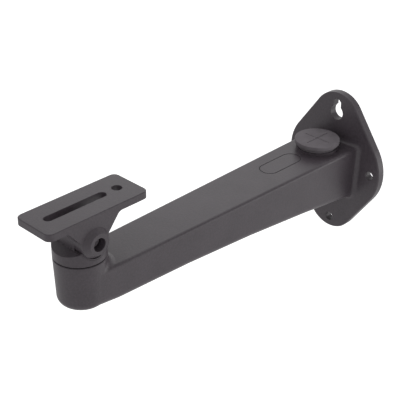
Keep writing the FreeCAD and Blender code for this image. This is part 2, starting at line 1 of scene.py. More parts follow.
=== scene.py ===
# %% [markdown]
# A camera wall bracket, dressed for its portrait. The solids come from the CAD model: a cast arm
# with its wall plate, a turntable, a tilting camera plate, a rubber grommet and the fasteners.
# This lesson gives them their finishes, makes the bolt, the nut, the screw and the grommet again
# in more detail than a solid model needs, and lights everything as a studio would.

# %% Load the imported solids
import math

import bpy
import bmesh
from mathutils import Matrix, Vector


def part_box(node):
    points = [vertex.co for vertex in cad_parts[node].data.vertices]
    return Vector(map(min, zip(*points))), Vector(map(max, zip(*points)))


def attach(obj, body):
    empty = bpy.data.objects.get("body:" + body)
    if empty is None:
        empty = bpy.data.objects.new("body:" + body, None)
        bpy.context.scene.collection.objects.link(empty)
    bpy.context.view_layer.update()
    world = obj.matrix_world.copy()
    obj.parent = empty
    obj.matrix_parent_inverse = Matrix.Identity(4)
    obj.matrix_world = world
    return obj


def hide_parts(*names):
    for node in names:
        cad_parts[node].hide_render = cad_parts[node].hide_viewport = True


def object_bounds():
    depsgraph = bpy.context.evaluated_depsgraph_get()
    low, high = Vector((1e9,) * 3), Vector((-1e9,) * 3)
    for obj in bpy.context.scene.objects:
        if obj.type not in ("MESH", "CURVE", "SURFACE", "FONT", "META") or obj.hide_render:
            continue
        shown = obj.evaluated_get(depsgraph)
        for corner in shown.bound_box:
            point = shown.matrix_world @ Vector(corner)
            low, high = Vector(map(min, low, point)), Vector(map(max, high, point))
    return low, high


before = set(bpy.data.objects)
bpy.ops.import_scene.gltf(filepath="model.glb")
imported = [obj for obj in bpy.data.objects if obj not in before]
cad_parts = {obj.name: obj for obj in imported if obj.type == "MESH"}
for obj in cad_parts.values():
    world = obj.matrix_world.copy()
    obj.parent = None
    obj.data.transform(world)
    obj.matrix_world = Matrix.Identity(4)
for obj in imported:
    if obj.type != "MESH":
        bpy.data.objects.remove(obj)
cad_low, cad_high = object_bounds()
print("solids:", ", ".join(sorted(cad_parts)))

# %% [markdown]
# The pieces that are made again go where the solids are. Their places could be typed in, but
# then they would be wrong as soon as the model changed, so the boxes of four solids are read,
# once, here. Blender works in metres, so a value in millimetres is multiplied by MM.

# %% Places read from the solids
MM = 0.001
screw_low, screw_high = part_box("tilt_screw")
nut_low, nut_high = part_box("tilt_nut")
bolt_low, bolt_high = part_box("pan_bolt")
grommet_low, grommet_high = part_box("cable_grommet")
pan_axis = (bolt_low + bolt_high) / 2
tilt_axis = (screw_low + screw_high) / 2
grommet_axis = (grommet_low + grommet_high) / 2
print(f"pan axis at y {pan_axis.y / MM:.1f} mm, tilt axis at z {tilt_axis.z / MM:.1f} mm")

# %% [markdown]
# The camera stands where the photographer's stood: to the right of the arm's free end, about
# thirty degrees above it. A long lens keeps the arm's far end from shrinking too much. The two
# small shifts slide the picture without turning the camera, so upright edges keep their lean.

# %% Camera
CAMERA_PLACE = (0.44516, -0.60379, 0.38283)
CAMERA_PITCH = math.radians(60.85)
CAMERA_HEADING = math.radians(45.316)
camera_data = bpy.data.cameras.new("camera")
camera_data.lens = 94.56
camera_data.sensor_width = 36
camera_data.shift_x = 0.0211
camera_data.shift_y = -0.0199
camera_data.clip_start = 0.05
camera_data.clip_end = 20
camera = bpy.data.objects.new("camera", camera_data)
camera.location = CAMERA_PLACE
camera.rotation_euler = (CAMERA_PITCH, 0, CAMERA_HEADING)
bpy.context.scene.collection.objects.link(camera)
bpy.context.scene.camera = camera
print("camera at", tuple(round(c, 3) for c in camera.location))

# %% [markdown]
# A catalogue picture has a pure white ground. A floor that bright would throw too much light up
# at the bracket, and the same holds for a white sky. So both are brighter for the camera's own
# rays than for all others. A Light Path node tells the two apart.

# %% Brighter for the camera


def brighter_for_camera(tree, usual, seen):
    """A strength that is different for rays that come straight from the camera."""
    span = tree.nodes.new("ShaderNodeMapRange")
    span.inputs["To Min"].default_value = usual
    span.inputs["To Max"].default_value = seen
    path = tree.nodes.new("ShaderNodeLightPath")
    tree.links.new(path.outputs["Is Camera Ray"], span.inputs["Value"])
    return span.outputs["Result"]


# %% [markdown]
# The backdrop is a wide pale floor. It lies well below the bracket, which hangs on a wall in
# use, so no hard shadow gathers under the arm. It glows a little, as a white sweep does that is
# lit from beneath, and that light fills the undersides.

# %% Floor
FLOOR_DROP = 0.35
FLOOR_HALF = 6.0
FLOOR_GLOW = 0.15
FLOOR_GLOW_SEEN = 0.65
floor_height = cad_low.z - FLOOR_DROP
floor_mesh = bpy.data.meshes.new("floor")
corners = [(x, y, floor_height) for x, y in (
    (-FLOOR_HALF, -FLOOR_HALF), (FLOOR_HALF, -FLOOR_HALF),
    (FLOOR_HALF, FLOOR_HALF), (-FLOOR_HALF, FLOOR_HALF),
)]
floor_mesh.from_pydata(corners, [], [(0, 1, 2, 3)])
floor = bpy.data.objects.new("floor", floor_mesh)
bpy.context.scene.collection.objects.link(floor)
floor_material = bpy.data.materials.new("pale_floor")
floor_material.use_nodes = True
floor_tree = floor_material.node_tree
floor_shader = floor_tree.nodes["Principled BSDF"]
floor_shader.inputs["Base Color"].default_value = (0.92, 0.92, 0.92, 1)
floor_shader.inputs["Roughness"].default_value = 0.9
floor_shader.inputs["Specular IOR Level"].default_value = 0.1
floor_shader.inputs["Emission Color"].default_value = (1, 1, 1, 1)
floor_glow = brighter_for_camera(floor_tree, FLOOR_GLOW, FLOOR_GLOW_SEEN)
floor_tree.links.new(floor_glow, floor_shader.inputs["Emission Strength"])
floor_mesh.materials.append(floor_material)
print(f"floor {FLOOR_DROP:.2f} m below the bracket")

# %% [markdown]
# Dark satin paint shows its surroundings: each face takes the brightness of what it mirrors. A
# few lamps alone would leave most faces black, so an even sky does most of the work.

# %% Sky
SKY_LIGHT = 0.51
SKY_LIGHT_SEEN = 1.0
world = bpy.data.worlds.new("studio")
world.use_nodes = True
bpy.context.scene.world = world
sky = world.node_tree.nodes["Background"]
sky.inputs["Color"].default_value = (1, 1, 1, 1)
sky_strength = brighter_for_camera(world.node_tree, SKY_LIGHT, SKY_LIGHT_SEEN)
world.node_tree.links.new(sky_strength, sky.inputs["Strength"])
bpy.context.scene.view_settings.view_transform = "Standard"
print("sky light", SKY_LIGHT)

# %% [markdown]
# Softboxes shape the rest. A low one behind on the right lights the arm's long side, weaker ones
# fill the front and the left, and three small ones near the wall make the arm's top brighter
# towards that end. Each is told by its direction from the bracket's middle, its distance and its
# side in metres, and its power in watts. The camera doesn't see the lamps themselves.

# %% Softboxes
LIT_POINT = Vector((0, -0.14, 0))


def softbox(name, direction, distance, side, power):
    """A square lamp in a direction from the bracket, facing it."""
    lamp = bpy.data.lights.new(name, "AREA")
    lamp.shape = "SQUARE"
    lamp.size = side
    lamp.energy = power
    holder = bpy.data.objects.new(name, lamp)
    holder.location = LIT_POINT + Vector(direction).normalized() * distance
    facing = LIT_POINT - holder.location
    holder.rotation_euler = facing.to_track_quat("-Z", "Y").to_euler()
    holder.visible_camera = False
    bpy.context.scene.collection.objects.link(holder)


softboxes = {
    "backright_low": ((0.7, 0.7, 0), 1.5, 0.8, 3.3),
    "backleft": ((-0.7, 0.7, 0.3), 1.5, 1.2, 2.2),
    "front_top": ((0, -1, 1), 1.5, 1.2, 0.9),
    "left_top": ((-1, 0, 1), 1.5, 1.2, 0.3),
    "near_wall": ((-0.1, 0.35, 0.55), 0.6, 0.4, 0.3),
    "over_wall": ((-0.35, 0.3, 0.9), 0.55, 0.3, 0.1),
    "left_wall": ((-0.8, 0.5, 0.35), 0.6, 0.3, 0.1),
}
for lamp_name, settings in softboxes.items():
    softbox(lamp_name, *settings)
print(len(softboxes), "softboxes")

# %% [markdown]
# Every finish starts the same way: one shader, and a texture coordinate that is fixed to the
# object, so the pattern stays put when the head pans or tilts.

# %% Start a finish


def start_finish(name):
    """A new material, its shader and its object coordinates."""
    material = bpy.data.materials.new(name)
    material.use_nodes = True
    tree = material.node_tree
    coordinates = tree.nodes.new("ShaderNodeTexCoord").outputs["Object"]
    return material, tree, tree.nodes["Principled BSDF"], coordinates


# %% [markdown]
# Nothing real is the same all over, and these helpers keep the recipes for that short. A grain
# is a noise texture whose size is given in millimetres. Noise keeps near its middle, so spread()
# stretches the part between NOISE_LOW and NOISE_HIGH, and tint() turns the result into a colour.

# %% Grain and colour
NOISE_LOW = 0.3
NOISE_HIGH = 0.7


def grain(tree, coordinates, size_mm, detail=2.0):
    """Noise whose blots are about size_mm across."""
    noise = tree.nodes.new("ShaderNodeTexNoise")
    noise.inputs["Scale"].default_value = 1 / (size_mm * MM)
    noise.inputs["Detail"].default_value = detail
    tree.links.new(coordinates, noise.inputs["Vector"])
    return noise.outputs["Fac"]


def spread(tree, value, low=0.0, high=1.0):
    """Stretch a noise's middle range between two values."""
    span = tree.nodes.new("ShaderNodeMapRange")
    span.inputs["From Min"].default_value = NOISE_LOW
    span.inputs["From Max"].default_value = NOISE_HIGH
    span.inputs["To Min"].default_value = low
    span.inputs["To Max"].default_value = high
    tree.links.new(value, span.inputs["Value"])
    return span.outputs["Result"]


def tint(tree, value, dark, light):
    """A colour between two, chosen by a value from 0 to 1."""
    mix = tree.nodes.new("ShaderNodeMix")
    mix.data_type = "RGBA"
    mix.inputs["A"].default_value = (*dark, 1)
    mix.inputs["B"].default_value = (*light, 1)
    tree.links.new(value, mix.inputs["Factor"])
    return mix.outputs["Result"]


# %% [markdown]
# Nothing real has a perfectly sharp edge either: paint rounds it, and the round catches the light
# as a thin line. Small faces along every edge could show that. A Bevel node does it without a
# single new face: it bends the shading near an edge as if it were rounded. The bump comes on top
# of that, so grain and rounding work together.

# %% Soft edges and bumps
BEVEL_SAMPLES = 6


def dents(tree, height, depth_mm, strength, edge_mm):
    """Bumps from a height texture, on edges that look rounded by edge_mm."""
    edge = tree.nodes.new("ShaderNodeBevel")
    edge.samples = BEVEL_SAMPLES
    edge.inputs["Radius"].default_value = edge_mm * MM
    bump = tree.nodes.new("ShaderNodeBump")
    bump.inputs["Distance"].default_value = depth_mm * MM
    bump.inputs["Strength"].default_value = strength
    tree.links.new(height, bump.inputs["Height"])
    tree.links.new(edge.outputs["Normal"], bump.inputs["Normal"])
    return bump.outputs["Normal"]


# %% [markdown]
# Powder coat is a plastic paint, sprayed as dust and baked. It melts into a satin skin with a
# fine leathery grain, so a face mirrors what is around it, but only as a broad blur. Two sizes
# of grain make it: a fine one for the skin and a broad faint one for uneven thickness. The
# colour is a charcoal with a trace of violet.

# %% Powder coat
COAT_DARK = (0.037, 0.0303, 0.0365)
COAT_LIGHT = (0.079, 0.0652, 0.0767)
FINE_SHARE = 0.45
powder_coat, tree, shader, place = start_finish("charcoal_powder_coat")
fine = grain(tree, place, size_mm=1.4, detail=4)
broad = grain(tree, place, size_mm=22, detail=1)
blend = tree.nodes.new("ShaderNodeMath")
blend.operation = "MULTIPLY_ADD"
blend.inputs[1].default_value = FINE_SHARE
tree.links.new(spread(tree, fine), blend.inputs[0])
tree.links.new(spread(tree, broad, low=0.4, high=0.6), blend.inputs[2])
shade = tint(tree, blend.outputs["Value"], COAT_DARK, COAT_LIGHT)
tree.links.new(shade, shader.inputs["Base Color"])
tree.links.new(spread(tree, fine, low=0.34, high=0.42), shader.inputs["Roughness"])
skin = dents(tree, fine, depth_mm=0.10, strength=0.8, edge_mm=0.25)
tree.links.new(skin, shader.inputs["Normal"])
print("powder coat ready")

# %% [markdown]
# The grommet is moulded rubber. Its own colour is a lighter grey than the paint's, but it is
# duller, and mirrors almost nothing. A mould leaves faint bloom marks and tiny pores.

# %% Rubber
RUBBER_DARK = (0.162, 0.147, 0.160)
RUBBER_LIGHT = (0.186, 0.170, 0.184)
rubber, tree, shader, place = start_finish("grey_rubber")
bloom = grain(tree, place, size_mm=6)
shade = tint(tree, spread(tree, bloom), RUBBER_DARK, RUBBER_LIGHT)
tree.links.new(shade, shader.inputs["Base Color"])
tree.links.new(spread(tree, bloom, low=0.70, high=0.80), shader.inputs["Roughness"])
shader.inputs["Specular IOR Level"].default_value = 0.15
pores = grain(tree, place, size_mm=0.5)
skin = dents(tree, pores, depth_mm=0.02, strength=0.5, edge_mm=0.3)
tree.links.new(skin, shader.inputs["Normal"])
print("rubber ready")

# %% [markdown]
# The washer in the seam is black acetal, a slippery plastic that is always dull. Only its dark
# rim shows, so a little unevenness in colour and roughness is enough.

# %% Washer plastic
ACETAL_DARK = (0.010, 0.010, 0.011)
ACETAL_LIGHT = (0.020, 0.019, 0.020)
acetal, tree, shader, place = start_finish("black_acetal")
marks = grain(tree, place, size_mm=1.5)
shade = tint(tree, spread(tree, marks), ACETAL_DARK, ACETAL_LIGHT)
tree.links.new(shade, shader.inputs["Base Color"])
tree.links.new(spread(tree, marks, low=0.55, high=0.70), shader.inputs["Roughness"])
print("acetal ready")

# %% [markdown]
# The pan bolt, its washers and the nut are zinc plated steel: a bare metal, whose colour tints
# the reflection. The tilt screw is phosphated. That leaves a grey crystal skin on the steel,
# duller than zinc and only partly metallic. One recipe makes both, because both are cloudy
# coats over drawn steel, and small differences in roughness give them life.

# %% Steels


def steel(name, dark, light, smooth, rough, metal=1.0):
    """Plated steel with cloudy plating and fine drawing marks."""
    material, tree, shader, place = start_finish(name)
    clouds = grain(tree, place, size_mm=2.5, detail=4)
    shade = tint(tree, spread(tree, clouds), dark, light)
    tree.links.new(shade, shader.inputs["Base Color"])
    tree.links.new(spread(tree, clouds, smooth, rough), shader.inputs["Roughness"])
    marks = grain(tree, place, size_mm=0.3)
    skin = dents(tree, marks, depth_mm=0.01, strength=0.4, edge_mm=0.15)
    tree.links.new(skin, shader.inputs["Normal"])
    shader.inputs["Metallic"].default_value = metal
    return material


zinc = steel("zinc_plate", (0.46, 0.46, 0.48), (0.62, 0.62, 0.62), smooth=0.28, rough=0.42)
phosphated = steel(
    "phosphated_steel", (0.20, 0.18, 0.195), (0.27, 0.245, 0.265),
    smooth=0.42, rough=0.55, metal=0.25,
)
print("steels ready")

# %% [markdown]
# The bolt, the nut and the screw are made with Geometry Nodes. They could be modelled by hand,
# but a tree is a small machine: sizes go in, a shape comes out, and the same tree makes a big
# bolt or a small nut. These helpers start a tree with named inputs, add a node to it, and work
# out a number.

# %% Helpers for trees
SHAPE_INPUTS = [("Place", "Vector"), ("Turn", "Rotation"), ("Finish", "Material")]


def start_tree(name, sizes):
    """A tree with inputs for its sizes, its place, its turn and its finish."""
    tree = bpy.data.node_groups.new(name, "GeometryNodeTree")
    tree.interface.new_socket("Start", in_out="INPUT", socket_type="NodeSocketGeometry")
    tree.interface.new_socket("Shape", in_out="OUTPUT", socket_type="NodeSocketGeometry")
    for label, kind in sizes + SHAPE_INPUTS:
        tree.interface.new_socket(label, in_out="INPUT", socket_type=f"NodeSocket{kind}")
    return tree, tree.nodes.new("NodeGroupInput").outputs


def add(tree, kind, inputs, **settings):
    """A node whose inputs are given as values or as links from other sockets."""
    node = tree.nodes.new(kind)
    for setting, value in settings.items():
        setattr(node, setting, value)
    for label, value in inputs.items():
        if isinstance(value, bpy.types.NodeSocket):
            tree.links.new(value, node.inputs[label])
        else:
            node.inputs[label].default_value = value
    return node.outputs


def work_out(tree, operation, *values):
    """One step of arithmetic on sockets or numbers."""
    return add(tree, "ShaderNodeMath", dict(enumerate(values)), operation=operation)[0]


# %% [markdown]
# Shapes in a tree are moved, and cut with each other. The exact solver is the slow one, but its
# cuts are clean. A difference has to know which shape is cut. A union or an intersection treats
# both alike, so both go into one input.

# %% Move and cut


def upwards(tree, height):
    """A vector along Z."""
    return add(tree, "ShaderNodeCombineXYZ", {"Z": height})[0]


def moved(tree, shape, **how):
    """The shape, shifted by Translation or turned by Rotation."""
    return add(tree, "GeometryNodeTransform", {"Geometry": shape, **how})[0]


def cut(tree, operation, first, second):
    """Join, cut or intersect two solids."""
    node = tree.nodes.new("GeometryNodeMeshBoolean")
    node.operation = operation
    node.solver = "EXACT"
    tree.links.new(first, node.inputs["Mesh 1" if operation == "DIFFERENCE" else "Mesh 2"])
    tree.links.new(second, node.inputs["Mesh 2"])
    return node.outputs["Mesh"]


# %% [markdown]
# Every tree ends the same way. The shape is turned and put in its place, instances become real
# geometry, because the export would drop them, and the finish goes on.

# %% End a tree


def end_tree(tree, sizes, shape):
    """Turn and place the shape, make it real and give it its finish."""
    placed = moved(tree, shape, Translation=sizes["Place"], Rotation=sizes["Turn"])
    real = add(tree, "GeometryNodeRealizeInstances", {"Geometry": placed})[0]
    finish = {"Geometry": real, "Material": sizes["Finish"]}
    painted = add(tree, "GeometryNodeSetMaterial", finish)[0]
    tree.links.new(painted, tree.nodes.new("NodeGroupOutput").inputs["Shape"])


# %% [markdown]
# A tree needs an object to run on. This helper gives it one, sets the inputs by the identifiers
# of their sockets, and keeps the result as a plain mesh. The helper object then goes, so nothing
# live is left in the scene. A boolean can leave a spare material slot, so the finish is set once
# more on the plain mesh.

# %% Run a tree


def build(name, tree, values, start=None):
    """Run a tree with its values and keep the result as a plain object."""
    start = start or bpy.data.meshes.new(name + "_start")
    maker = bpy.data.objects.new(name + "_maker", start)
    bpy.context.scene.collection.objects.link(maker)
    modifier = maker.modifiers.new("shape", "NODES")
    modifier.node_group = tree
    for label, value in values.items():
        modifier[tree.interface.items_tree[label].identifier] = value
    graph = bpy.context.evaluated_depsgraph_get()
    mesh = bpy.data.meshes.new_from_object(maker.evaluated_get(graph))
    bpy.data.objects.remove(maker)
    mesh.name = name
    mesh.materials.clear()
    mesh.materials.append(values["Finish"])
    mesh.polygons.foreach_set("material_index", [0] * len(mesh.polygons))
    piece = bpy.data.objects.new(name, mesh)
    bpy.context.scene.collection.objects.link(piece)
    places = [vertex.co for vertex in mesh.vertices]
    size = [max(p[k] for p in places) - min(p[k] for p in places) for k in range(3)]
    print(name, len(mesh.polygons), "faces,", " x ".join(f"{s / MM:.1f}" for s in size), "mm")
    return piece


# %% [markdown]
# Four of the made pieces stand for a solid. Each has to say two things: the body that it moves
# with and the solid that it replaces.

# %% Stand for a solid


def stand_for(piece, node, body):
    """The piece replaces a solid and moves with its body."""
    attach(piece, body)
    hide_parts(node)


# %% [markdown]
# Turned parts come from a few stock shapes, as in a workshop: round bar, hexagon bar, and the
# cone that a lathe cuts on a head to break its sharp edge. A cone's flare is how far it widens
# for each step down. SPARE is what a tool runs past the work, so that no two faces of a cut lie
# in one plane.

# %% Stock shapes
ROUND_SIDES = 64
SPARE = 1 * MM


def bar(tree, low, high, radius, sides=ROUND_SIDES):
    """A round or many-sided bar along Z between two heights."""
    middle = work_out(tree, "MULTIPLY", work_out(tree, "ADD", low, high), 0.5)
    depth = work_out(tree, "SUBTRACT", high, low)
    cylinder = {"Vertices": sides, "Radius": radius, "Depth": depth}
    solid = add(tree, "GeometryNodeMeshCylinder", cylinder)["Mesh"]
    return moved(tree, solid, Translation=upwards(tree, middle))


def hexagon_bar(tree, low, high, flats):
    """A six-sided bar, told by the distance between its flats."""
    corner_radius = work_out(tree, "DIVIDE", flats, math.sqrt(3))
    return bar(tree, low, high, corner_radius, sides=6)


def edge_cone(tree, depth, face_radius, flare):
    """A cone with its foot SPARE below zero and a round face on top."""
    foot_radius = work_out(tree, "MULTIPLY_ADD", depth, flare, face_radius)
    cone = add(tree, "GeometryNodeMeshCone", {
        "Vertices": ROUND_SIDES, "Radius Top": face_radius, "Radius Bottom": foot_radius,
        "Depth": depth,
    })["Mesh"]
    return moved(tree, cone, Translation=(0, 0, -SPARE))


# %% [markdown]
# A hexagon head starts as a six-sided bar. A lathe then turns a shallow cone on its end, which
# leaves a round face and six curved marks where cone and flats meet. What the bar and a cone
# have in common is exactly that head, so one intersection makes it. A bolt then gets its shank
# by a union, and a nut its bore by a difference; a switch in the tree chooses.

# %% Tree for hexagon heads
FACE_SHARE = 0.475
HEXAGON_FLARE = math.tan(math.radians(60))
hexagon_tree, sizes = start_tree("hexagon_head", [
    ("Across Flats", "Float"), ("Height", "Float"), ("Shank Radius", "Float"),
    ("Shank Length", "Float"), ("Bored", "Bool"),
])
over = work_out(hexagon_tree, "ADD", sizes["Height"], SPARE)
hexagon = hexagon_bar(hexagon_tree, 0, over, sizes["Across Flats"])
face_radius = work_out(hexagon_tree, "MULTIPLY", sizes["Across Flats"], FACE_SHARE)
cone = edge_cone(hexagon_tree, over, face_radius, HEXAGON_FLARE)
head = cut(hexagon_tree, "INTERSECT", hexagon, cone)
shank_end = work_out(hexagon_tree, "MULTIPLY", sizes["Shank Length"], -1)
half_height = work_out(hexagon_tree, "MULTIPLY", sizes["Height"], 0.5)
shank = bar(hexagon_tree, shank_end, half_height, sizes["Shank Radius"])
drill = bar(hexagon_tree, -SPARE, over, sizes["Shank Radius"])
chosen = add(hexagon_tree, "GeometryNodeSwitch", {
    "Switch": sizes["Bored"], "False": cut(hexagon_tree, "UNION", head, shank),
    "True": cut(hexagon_tree, "DIFFERENCE", head, drill),
}, input_type="GEOMETRY")["Output"]
end_tree(hexagon_tree, sizes, chosen)
print("hexagon tree ready,", len(hexagon_tree.nodes), "nodes")

# %% [markdown]
# The pan bolt comes up from below, through the boss, and holds the turntable down. Its head is
# seen only from underneath. The nut sits in a pocket on the lug's left side and takes the
# tilt screw. The tree makes a head upright, so the bolt is turned over and the nut laid down.

# %% Pan bolt and tilt nut
BOLT_FLATS = 13 * MM
BOLT_HEAD = 5.3 * MM
BOLT_RADIUS = 4 * MM
pan_bolt = build("pan_bolt_detailed", hexagon_tree, {
    "Across Flats": BOLT_FLATS, "Height": BOLT_HEAD, "Shank Radius": BOLT_RADIUS,
    "Shank Length": bolt_high.z - bolt_low.z - BOLT_HEAD, "Bored": False,
    "Place": (pan_axis.x, pan_axis.y, bolt_low.z + BOLT_HEAD),
    "Turn": (math.pi, 0, math.radians(30)), "Finish": zinc,
})
stand_for(pan_bolt, "pan_bolt", "head")

NUT_FLATS = 8 * MM
NUT_BORE_RADIUS = 2.55 * MM
tilt_nut = build("tilt_nut_detailed", hexagon_tree, {
    "Across Flats": NUT_FLATS, "Height": nut_high.x - nut_low.x,
    "Shank Radius": NUT_BORE_RADIUS, "Shank Length": SPARE, "Bored": True,
    "Place": (nut_high.x, tilt_axis.y, tilt_axis.z),
    "Turn": (0, -math.pi / 2, 0), "Finish": zinc,
})
stand_for(tilt_nut, "tilt_nut", "head")

# %% [markdown]
# A cylinder-head screw has straight knurling round its head, for fingers, and a hexagon socket,
# for the key. A star is a ready-made curve in Geometry Nodes, and a star with many shallow
# points is the cross-section of knurling: swept along a short line it gives the whole head at
# once. A cone takes the sharp top edge off, a six-sided bar cuts the socket, and a round bar
# adds the shank.

# %% Tree for the tilt screw
EDGE_BREAK = 0.45 * MM
EDGE_FLARE = 1
screw_tree, sizes = start_tree("knurled_screw", [
    ("Head Radius", "Float"), ("Ridge", "Float"), ("Ridges", "Int"), ("Height", "Float"),
    ("Socket Flats", "Float"), ("Socket Depth", "Float"), ("Shank Radius", "Float"),
    ("Shank Length", "Float"),
])
over = work_out(screw_tree, "ADD", sizes["Height"], SPARE)
valley = work_out(screw_tree, "SUBTRACT", sizes["Head Radius"], sizes["Ridge"])
star = add(screw_tree, "GeometryNodeCurveStar", {
    "Points": sizes["Ridges"], "Inner Radius": valley, "Outer Radius": sizes["Head Radius"],
})["Curve"]
line = add(screw_tree, "GeometryNodeCurvePrimitiveLine", {
    "Start": (0, 0, 0), "End": upwards(screw_tree, over),
})[0]
knurled = add(screw_tree, "GeometryNodeCurveToMesh", {
    "Curve": line, "Profile Curve": star, "Fill Caps": True,
})[0]
face_radius = work_out(screw_tree, "SUBTRACT", sizes["Head Radius"], EDGE_BREAK)
cone = edge_cone(screw_tree, over, face_radius, EDGE_FLARE)
head = cut(screw_tree, "INTERSECT", knurled, cone)
socket_floor = work_out(screw_tree, "SUBTRACT", sizes["Height"], sizes["Socket Depth"])
key = hexagon_bar(screw_tree, socket_floor, over, sizes["Socket Flats"])
shank_end = work_out(screw_tree, "MULTIPLY", sizes["Shank Length"], -1)
inside = work_out(screw_tree, "MULTIPLY", socket_floor, 0.5)
shank = bar(screw_tree, shank_end, inside, sizes["Shank Radius"])
socketed = cut(screw_tree, "DIFFERENCE", head, key)
end_tree(screw_tree, sizes, cut(screw_tree, "UNION", socketed, shank))
print("screw tree ready,", len(screw_tree.nodes), "nodes")

# %% [markdown]
# The screw lies along the tilt axis: its head in the barrel's recess on the right, its end flush
# with the nut on the left. The tree makes it upright, so it is laid over by a quarter turn.

# %% Tilt screw
SCREW_HEAD = 3.5 * MM
SCREW_HEAD_RADIUS = 4.25 * MM
SCREW_RADIUS = 2.5 * MM
RIDGE_HEIGHT = 0.18 * MM
RIDGE_COUNT = 36
SOCKET_FLATS = 4 * MM
SOCKET_DEPTH = 2.2 * MM
tilt_screw = build("tilt_screw_detailed", screw_tree, {
    "Head Radius": SCREW_HEAD_RADIUS, "Height": SCREW_HEAD,
    "Ridge": RIDGE_HEIGHT, "Ridges": RIDGE_COUNT,
    "Socket Flats": SOCKET_FLATS, "Socket Depth": SOCKET_DEPTH, "Shank Radius": SCREW_RADIUS,
    "Shank Length": screw_high.x - screw_low.x - SCREW_HEAD,
    "Place": (screw_high.x - SCREW_HEAD, tilt_axis.y, tilt_axis.z),
    "Turn": (0, math.pi / 2, 0), "Finish": phosphated,
})
stand_for(tilt_screw, "tilt_screw", "head")

# %% [markdown]
# The tilt barrel turns in a hollow of the turntable. A wear pad lines that hollow, so the seam
# under the barrel is a fine line and not an open gap. The pad could be a bent strip, but it has
# to end where the turntable does. So it is what three simple solids leave: a tube round the tilt
# axis, cut back to the turntable's round side, and cut off level at a depth below the axis. The
# tree makes it with the tilt axis upright, so Left and Right are heights there.

# %% Tree for the wear pad
FINE_SIDES = 2 * ROUND_SIDES
pad_tree, sizes = start_tree("wear_pad", [
    ("Inner Radius", "Float"), ("Outer Radius", "Float"), ("Left", "Float"), ("Right", "Float"),
    ("Drum Radius", "Float"), ("Top", "Float"), ("Bottom", "Float"),
])
tube = bar(pad_tree, sizes["Left"], sizes["Right"], sizes["Outer Radius"], FINE_SIDES)
hollow_low = work_out(pad_tree, "SUBTRACT", sizes["Left"], SPARE)
hollow_high = work_out(pad_tree, "ADD", sizes["Right"], SPARE)
hollow = bar(pad_tree, hollow_low, hollow_high, sizes["Inner Radius"], FINE_SIDES)
drum = bar(pad_tree, sizes["Top"], sizes["Bottom"], sizes["Drum Radius"], FINE_SIDES)
drum_across = moved(pad_tree, drum, Rotation=(0, math.pi / 2, 0))
lining = cut(pad_tree, "DIFFERENCE", tube, hollow)
end_tree(pad_tree, sizes, cut(pad_tree, "INTERSECT", lining, drum_across))
print("wear pad tree ready,", len(pad_tree.nodes), "nodes")

# %% [markdown]
# The barrel has a radius of 10.5 mm and the hollow one of 11.6 mm, and the pad nearly fills what
# is between them. It starts at the lug's face and stays a hair inside the turntable's side. Top
# and Bottom are depths below the tilt axis.

# %% Wear pad under the tilt barrel
PAD_INNER_RADIUS = 10.62 * MM
PAD_OUTER_RADIUS = 11.56 * MM
PAD_LEFT = 8.02 * MM
PAD_RIGHT = 18 * MM
PAD_TOP = 4.9 * MM
PAD_BOTTOM = 15 * MM
DRUM_RADIUS = 17.5 * MM
wear_pad = build("saddle_wear_pad", pad_tree, {
    "Inner Radius": PAD_INNER_RADIUS, "Outer Radius": PAD_OUTER_RADIUS,
    "Left": PAD_LEFT, "Right": PAD_RIGHT,
    "Drum Radius": DRUM_RADIUS, "Top": PAD_TOP, "Bottom": PAD_BOTTOM,
    "Place": (0, tilt_axis.y, tilt_axis.z), "Turn": (0, math.pi / 2, 0),
    "Finish": powder_coat,
})
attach(wear_pad, "head")

# %% [markdown]
# A bare oval is outlined on the arm's top by a narrow groove. Shade makes such a line look
# darker than its depth explains, so a thin dark line of painted shade lies at its bottom. It
# follows a path, which is what curves are for: a rounded rectangle as the path, a small flat
# rectangle as the cross-section. Its ends are half circles, but a round of exactly half the
# width would leave two points in one place, so END_SHARE is a trifle less.

# %% Tree for the painted shade line
END_SHARE = 0.4999
END_STEPS = 24
oval_tree, sizes = start_tree("oval_shade_line", [
    ("Length", "Float"), ("Width", "Float"), ("Shade Line Width", "Float"),
    ("Shade Line Height", "Float"),
])
rectangle = add(oval_tree, "GeometryNodeCurvePrimitiveQuadrilateral", {
    "Width": sizes["Width"], "Height": sizes["Length"],
})["Curve"]
end_radius = work_out(oval_tree, "MULTIPLY", sizes["Width"], END_SHARE)
oval = add(oval_tree, "GeometryNodeFilletCurve", {
    "Curve": rectangle, "Radius": end_radius, "Count": END_STEPS,
}, mode="POLY")["Curve"]
section = add(oval_tree, "GeometryNodeCurvePrimitiveQuadrilateral", {
    "Width": sizes["Shade Line Width"], "Height": sizes["Shade Line Height"],
})["Curve"]
swept = {"Curve": oval, "Profile Curve": section}
end_tree(oval_tree, sizes, add(oval_tree, "GeometryNodeCurveToMesh", swept)[0])
print("painted shade line tree ready,", len(oval_tree.nodes), "nodes")

# %% [markdown]
# The groove is cut into the arm and has no box of its own, so its place is given here. The
# line of painted shade wears the washer's dull black.

# %% Painted shade line in the oval groove
OVAL_LENGTH = 38.7 * MM
OVAL_WIDTH = 14.9 * MM
OVAL_X = -2 * MM
OVAL_Y = -68.6 * MM
GROOVE_FLOOR = 19.6 * MM
SHADE_LINE_WIDTH = 0.62 * MM
SHADE_LINE_HEIGHT = 0.14 * MM
# A thin dark line of painted shade lies on the groove's floor.
oval_shade_line = build("oval_groove_painted_shade", oval_tree, {
    "Length": OVAL_LENGTH, "Width": OVAL_WIDTH,
    "Shade Line Width": SHADE_LINE_WIDTH, "Shade Line Height": SHADE_LINE_HEIGHT,
    "Place": (OVAL_X, OVAL_Y, GROOVE_FLOOR + SHADE_LINE_HEIGHT / 2), "Finish": acetal,
})
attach(oval_shade_line, "arm")

# %% [markdown]
# The grommet is moulded in one piece, and round all over apart from its slits. From the top down
# it has a flat cap, a neck that stands on the arm's raised seat, a stem through the arm's wall,
# and a lip that holds it from inside. It is hollow from below, which leaves only a thin skin at
# the top.

